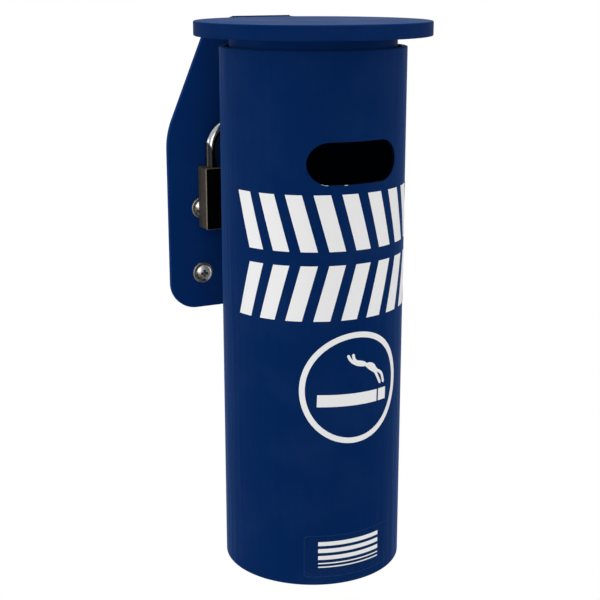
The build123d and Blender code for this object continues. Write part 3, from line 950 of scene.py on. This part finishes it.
def roundedOutline(corners, radii, steps):
    # each corner becomes an arc that touches both of its sides; the outward direction turns evenly along it
    corners = np.array(corners)
    before = corners - np.roll(corners, 1, axis=0)
    before /= np.linalg.norm(before, axis=1)[:, None]
    after = np.roll(before, -1, axis=0)
    start = np.arctan2(before[:, 0], -before[:, 1])
    turn = (np.arctan2(after[:, 0], -after[:, 1]) - start + math.pi) % (2 * math.pi) - math.pi
    radii = np.array(radii)
    middle = start + turn / 2
    reach = radii / np.cos(turn / 2)
    centres = corners - reach[:, None] * np.stack([np.cos(middle), np.sin(middle)], axis=-1)
    angle = start[:, None] + turn[:, None] * np.linspace(0, 1, steps)[None, :]
    out = np.stack([np.cos(angle), np.sin(angle)], axis=-1)
    points = centres[:, None] + radii[:, None, None] * out
    return points.reshape(-1, 2), out.reshape(-1, 2)


def easedWall(points, out, front, back, rounding):
    # the outline is carried from the front face to the back face over a quarter round at each end
    sine, cosine = np.sin(quarterTurn), np.cos(quarterTurn)
    inset = rounding * (np.concatenate([sine, sine[::-1]]) - 1)
    depth = np.concatenate([front + rounding * (1 - cosine), back - rounding * (1 - cosine[::-1])])
    facing = np.concatenate([-cosine, cosine[::-1]])[:, None]
    side = np.sqrt(1 - facing**2)
    flat = points[None] + inset[:, None, None] * out[None]
    even = 0 * flat[..., 0]
    place = np.stack([flat[..., 0], depth[:, None] + even, flat[..., 1]], axis=-1)
    normal = np.stack([side * out[None, :, 0], facing + even, side * out[None, :, 1]], axis=-1)
    return place, normal


def plateShell(spec):
    # walls of the outline and of the four holes, with the flat faces filled between them
    top, bottom, half = plateHi.z, plateLo.z, plateHi.x
    narrow, shoulder = spec["topHalf"], spec["shoulderZ"]
    topRound, shoulderRound, cornerRound = spec["topRadius"], spec["shoulderRadius"], spec["cornerRadius"]
    outline = roundedOutline(
        [(-narrow, top), (narrow, top), (half, shoulder), (half, bottom), (-half, bottom), (-half, shoulder)],
        [topRound, topRound, shoulderRound, cornerRound, cornerRound, shoulderRound],
        spec["cornerSteps"],
    )
    turn = fullTurn(spec["holeSteps"])
    circle = np.stack([np.cos(turn), np.sin(turn)], axis=-1)
    holes = [(np.array(place) + spec["holeRadius"] * circle, -circle) for place in screwPlaces]
    points, normals, faces, fronts, backs, count = [], [], [], [], [], 0
    for line, out in [outline] + holes:
        place, normal = easedWall(line, out, plateLo.y, plateHi.y, spec["edgeRound"])
        shellPoints, quads = gridFaces(place, loopColumns=True)
        faces += (np.array(quads) + count).tolist()
        fronts.append((count, place[0]))
        backs.append((count + len(shellPoints) - place.shape[1], place[-1]))
        points.append(shellPoints)
        normals.append(normal.reshape(-1, 3))
        count += len(shellPoints)
    for loops in (fronts, backs):
        ids = np.concatenate([first + np.arange(len(loop)) for first, loop in loops])
        flat = tessellate_polygon([[Vector((x, z, 0)) for x, y, z in loop.tolist()] for first, loop in loops])
        faces += ids[np.array(flat)].tolist()
    return np.concatenate(points), faces, np.concatenate(normals)


platePoints, plateFaces, plateNormals = plateShell(plateSpec)
plate = makePiece(
    "bracketPlate", [(platePoints, plateFaces)], shadeLiftedNavy, "navy_powder_coat", "bracket", "back_plate"
)
plate.data.normals_split_custom_set_from_vertices(plateNormals.tolist())
print("stage: plate")


weldSpec = {
    "rippleEvery": 1.5 * mm,
    "rippleDepth": 0.07,
    "rippleTrail": 0.35,  # of a ripple, by which its middle lags
    "bulge": 0.25,
    "bury": 0.12,
    "endsBlunt": 0.97,
    "faceSteps": 7,
    "pathStep": 0.15 * mm,
    "fewestSteps": 24,
    "ringSteps": 1200,
}


def filletBead(path, legA, legB, spec, closed=False):
    # a bead in a corner: its face goes from one leg to the other with a bulge in the middle, swells and sinks
    # once for each ripple along the path, and the ripples trail behind in the middle as the metal froze
    f = np.linspace(0, 1, spec["faceSteps"])
    hump = np.sin(math.pi * f)
    walked = walkedAlong(path)
    total = walked[-1] + (np.linalg.norm(path[0] - path[-1]) if closed else 0)
    ripples = max(round(total / spec["rippleEvery"]), 1)
    phase = walked[:, None] / total * ripples - spec["rippleTrail"] * hump[None, :]
    swell = 1 + spec["rippleDepth"] * np.abs(np.cos(math.pi * phase)) - spec["rippleDepth"]
    if not closed:
        swell *= roundedEnds(walked, np.linalg.norm(legA[0]), spec["endsBlunt"])[:, None]
    a = (1 - f) * (1 + spec["bulge"] * hump)
    b = f * (1 + spec["bulge"] * hump)
    face = path[:, None] + (swell * a)[..., None] * legA[:, None] + (swell * b)[..., None] * legB[:, None]
    root = path[:, None] - spec["bury"] * (legA + legB)[:, None]
    points = np.concatenate([face, root], axis=1)
    return gridFaces(points, loopRows=closed, loopColumns=True, capped=not closed)


def straightBead(start, end, legA, legB, spec):
    # a bead along a straight corner
    length = np.linalg.norm(np.subtract(end, start))
    path = np.linspace(start, end, max(int(length / spec["pathStep"]), spec["fewestSteps"]))
    ones = np.ones((len(path), 1))
    return filletBead(path, ones * np.array(legA), ones * np.array(legB), spec)


def ringBead(radius, z, legA, legB, spec):
    # a bead round the tube's axis, with its legs given as (outwards, up)
    turn = fullTurn(spec["ringSteps"])
    out = np.stack([np.sin(turn), -np.cos(turn), 0 * turn], axis=-1)
    path = np.array([tubeAxis[0], tubeAxis[1], z]) + radius * out
    up = np.array([0, 0, 1.0])
    return filletBead(path, legA[0] * out + legA[1] * up, legB[0] * out + legB[1] * up, spec, closed=True)


lidBeadSpec = {"topLeg": 1.7 * mm, "backRise": 0.3, "frontRise": 0.95}


def lidBeads(spec):
    # one bead lies over the plate's top end and leans on the lid, one fills the corner under the lid
    low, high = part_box("lid_welds")
    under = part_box("lid")[0].z
    top, bottomLeg = spec["topLeg"], under - low.z
    back, front = (0, top, spec["backRise"] * top), (0, -top, spec["frontRise"] * top)
    beads = []
    for z, legA, legB in ((plateHi.z, back, front), (under, (0, -bottomLeg, 0), (0, 0, -bottomLeg))):
        beads.append(straightBead((low.x, plateLo.y, z), (high.x, plateLo.y, z), legA, legB, weldSpec))
    return beads


makePiece("lidBeads", lidBeads(lidBeadSpec), navy, "navy_powder_coat", "bracket", "lid_welds")

for name, node, body in (("collarBead", "collar_weld", "bracket"), ("floorBead", "floor_weld", "canister")):
    low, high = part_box(node)
    leg = high.z - low.z
    bead = ringBead((high.x - low.x) / 2, high.z, (-leg, 0), (0, -leg), weldSpec)
    makePiece(name, [bead], navy, "navy_powder_coat", body, node)

low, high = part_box("keeper_weld")
leg = high.x - low.x
bead = straightBead((low.x, high.y, low.z), (low.x, high.y, high.z), (leg, 0, 0), (0, -leg, 0), weldSpec)
makePiece("keeperBead", [bead], navy, "navy_powder_coat", "bracket", "keeper_weld")

tabLeg = 3 * mm
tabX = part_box("hasp_tab")[0].x
low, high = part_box("tab_weld")
joinY = tubeAxis[1] + math.sqrt(tubeRadius**2 - (tabX - tubeAxis[0]) ** 2)
lean = (tabX - tubeAxis[0]) / tubeRadius
alongTube = (-math.sqrt(1 - lean**2) * tabLeg, lean * tabLeg, 0)
bead = straightBead((tabX, joinY, low.z), (tabX, joinY, high.z), (0, tabLeg, 0), alongTube, weldSpec)
makePiece("tabBead", [bead], navy, "navy_powder_coat", "canister", "tab_weld")
print("stage: welds")


screwLo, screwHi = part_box("mounting_screws")
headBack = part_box("mounting_washers")[0].y
headRadius = (screwHi.x - screwLo.x - spanX) / 2
screwSpec = {
    "threadRadius": dims["stud_r_mm"] * mm,
    "threadPitch": 1.6 * mm,
    "threadDepth": 0.45 * mm,
    "threadSharpness": 1.6,  # above one, the roots between the ridges are flat
    "neckRadius": 2.0 * mm,
    "pointLength": 5.0 * mm,
    "pointBlunt": 0.03,
    "pointCurve": 0.7,
    "recessSpan": 4.6 * mm,
    "recessWidth": 1.5 * mm,
    "recessDepth": 1.9 * mm,
    "recessSlope": 0.14 * mm,
    "recessEnd": 0.9 * mm,
    "headRim": 0.5 * mm,
    "headDome": 0.8,  # below one, the dome is flatter on top
    "headMiddle": 0.02,
    "headRings": 72,
    "headColumns": 144,
    "shankColumns": 24,
    "firstStep": 0.02 * mm,
    "stepsPerTurn": 8,
}


def headHeight(away, spec):
    # the head's dome above its back, where away goes from nothing in the middle to one at the rim
    tall = headBack - screwLo.y - spec["headRim"]
    return spec["headRim"] + tall * np.sqrt(np.clip(1 - away**2, 0, 1)) ** spec["headDome"]


def screwHead(x, z, spec):
    # a low dome over a polar grid, with a cross pressed into it whose walls slope and whose ends run out
    away = np.linspace(spec["headMiddle"], 1, spec["headRings"])[:, None]
    turn = fullTurn(spec["headColumns"])[None, :]
    px, pz = away * headRadius * np.cos(turn), away * headRadius * np.sin(turn)
    narrow, wide = np.minimum(abs(px), abs(pz)), np.maximum(abs(px), abs(pz))
    inArm = np.clip((spec["recessWidth"] / 2 - narrow) / spec["recessSlope"] + 0.5, 0, 1)
    inSpan = np.clip((spec["recessSpan"] / 2 - wide) / spec["recessEnd"], 0, 1)
    height = headHeight(away, spec) - inArm * inSpan * spec["recessDepth"]
    return gridFaces(np.stack([x + px, headBack - height, z + pz], axis=-1), loopColumns=True, capped=True)


def screwShank(x, z, spec):
    # a plain neck, then a thread that rises and falls once for each turn along the pitch, and a taper
    tip = screwHi.y
    turn = fullTurn(spec["shankColumns"])[None, :]
    threaded = np.arange(spec["firstStep"], tip, spec["threadPitch"] / spec["stepsPerTurn"])
    run = np.concatenate([[headBack, 0.0], threaded, [tip]])[:, None]
    saw = np.abs(((run / spec["threadPitch"] - turn / (2 * math.pi)) % 1) * 2 - 1)
    crest = np.clip(1 + spec["threadSharpness"] * (saw - 1), 0, 1)
    radius = spec["threadRadius"] - spec["threadDepth"] * (1 - crest)
    radius *= np.clip((tip - run) / spec["pointLength"], spec["pointBlunt"], 1) ** spec["pointCurve"]
    radius = np.where(run <= 0, spec["neckRadius"], radius)
    shank = np.stack([x + radius * np.cos(turn), run + 0 * turn, z + radius * np.sin(turn)], axis=-1)
    return gridFaces(shank, loopColumns=True, capped=True)


shells = []
for x, z in screwPlaces:
    shells += [screwHead(x, z, screwSpec), screwShank(x, z, screwSpec)]
screws = makePiece("threadedScrews", shells, screwZinc, "zinc_screw", "bracket", "mounting_screws", sharp=28)

shadeSpec = {
    "fillDepth": 0.12 * mm,  # a recess this deep is fully darkened by painted shade
    "footFrom": 0.86,  # of the head's radius
    "footBlend": 0.1,
    "lowerShadeX": 0.8,
    "lowerShadeZ": 0.9,
    "lowerShadeSharpness": 2.4,
    "lowerShadeFrom": 0.5,
    "shank": 0.35,
    "headEnds": 0.1 * mm,  # behind the head's back
}


def markShade(piece, spec):
    # painted shade fills the cross and the foot of each head, and painted shade and dark reflection darken
    # its lower left side; the shank is dull
    x, y, z = readTriples(piece.data.vertices, "co").T
    px = x - np.sign(x) * spanX / 2
    pz = z - np.sign(z) * spanZ / 2
    away = np.hypot(px, pz) / headRadius
    sunk = np.clip((y - (headBack - headHeight(away, screwSpec))) / spec["fillDepth"], 0, 1)
    foot = np.clip((away - spec["footFrom"]) / spec["footBlend"], 0, 1)
    lower = (-spec["lowerShadeX"] * px - spec["lowerShadeZ"] * pz) / headRadius
    lowerShade = np.clip(lower * spec["lowerShadeSharpness"] - spec["lowerShadeFrom"], 0, 1)
    # painted shade on the heads: the recess, the foot and the lower left; the shank is only duller
    shadeAndDull = np.where(y < headBack + spec["headEnds"], np.maximum.reduce([sunk, foot, lowerShade]), spec["shank"])
    layer = piece.data.attributes.new("shadeAndDull", "FLOAT", "POINT")
    layer.data.foreach_set("value", shadeAndDull.astype(np.float32))


markShade(screws, shadeSpec)
print("stage: screws")


def floorPaint(spec):
    # a white glow with a soft shadow where it is seen, and plain pale paint for the light it throws back
    mat, tree = newMaterial("floorPaint")
    paint = addNode(tree, "ShaderNodeBsdfDiffuse", {"Color": spec["floorTone"]})
    shadow = addNode(tree, "ShaderNodeAmbientOcclusion", {"Distance": spec["shadowReach"]})
    glow = addNode(tree, "ShaderNodeEmission", {"Color": shadow.outputs["Color"], "Strength": 1.0})
    shown = addNode(tree, "ShaderNodeMixShader", {0: seenDirectly(tree), 1: paint, 2: glow})
    addNode(tree, "ShaderNodeOutputMaterial", {"Surface": shown})
    return mat


half = studio["floorHalf"]
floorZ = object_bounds()[0].z - studio["floorDrop"]
floorMesh = bpy.data.meshes.new("floor")
corners = [(x * half, y * half, floorZ) for x, y in ((-1, -1), (1, -1), (1, 1), (-1, 1))]
floorMesh.from_pydata(corners, [], [(0, 1, 2, 3)])
floorMesh.materials.append(floorPaint(studio))
floor = bpy.data.objects.new("floor", floorMesh)
scene.collection.objects.link(floor)
print("stage: floor")
